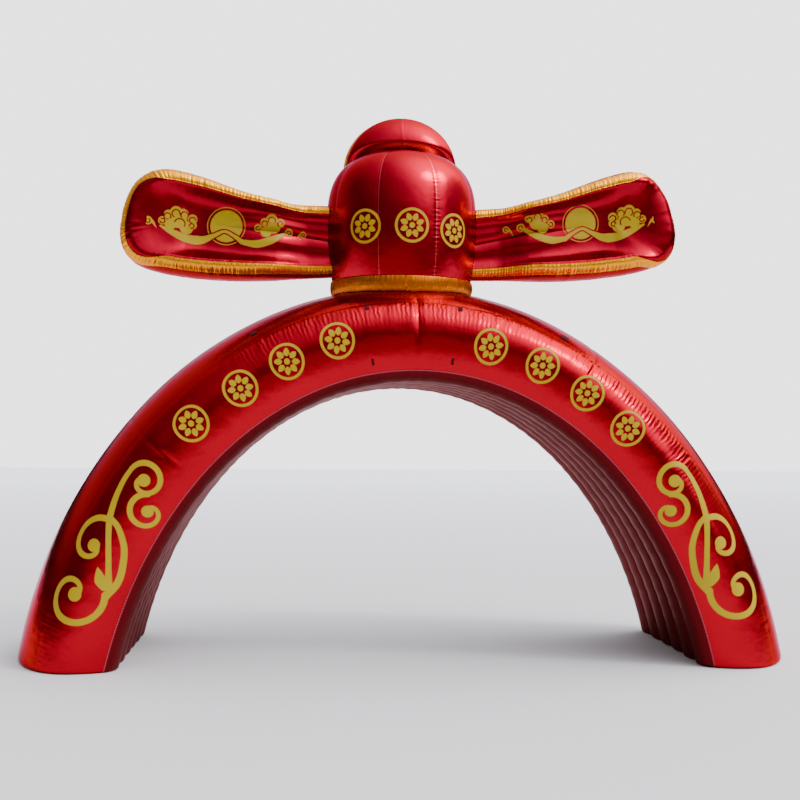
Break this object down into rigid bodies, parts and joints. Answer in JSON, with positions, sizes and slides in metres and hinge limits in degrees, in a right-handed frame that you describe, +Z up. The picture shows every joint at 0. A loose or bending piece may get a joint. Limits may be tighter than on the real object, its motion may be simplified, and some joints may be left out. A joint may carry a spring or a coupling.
{
  "type": "inflatable arch",
  "caption": "Inflatable welcome arch with a flat-faced ribbed tube on flat feet, carrying a domed hat with a puffed rear crown and a long wing to each side, trimmed in gold.",
  "frame": {"origin": "on the ground, midway between the two feet and midway through the tube's depth", "axes": "+X across the span to the right as seen from the front, +Y from the front to the back, +Z up"},
  "size_m": [5.9263, 1.8496, 4.2966],
  "materials": {
    "red_satin": "metallic satin cloth, smooth and taut",
    "gold_satin": "metallic satin cloth, puckered along its seams",
    "dark_webbing": "matte woven webbing"
  },
  "bodies": {
    "root": {"arch_tube": "red_satin", "hat_band": "gold_satin", "hat_body": "red_satin", "hat_crown": "red_satin", "crown_band": "gold_satin", "wing_left": "red_satin", "wing_right": "red_satin", "wing_band_left": "gold_satin", "wing_band_right": "gold_satin", "tie_tab_1": "dark_webbing", "tie_tab_2": "dark_webbing", "tie_tab_3": "dark_webbing", "tie_tab_4": "dark_webbing", "tie_tab_5": "dark_webbing", "tie_tab_6": "dark_webbing"}
  },
  "joints": []
}
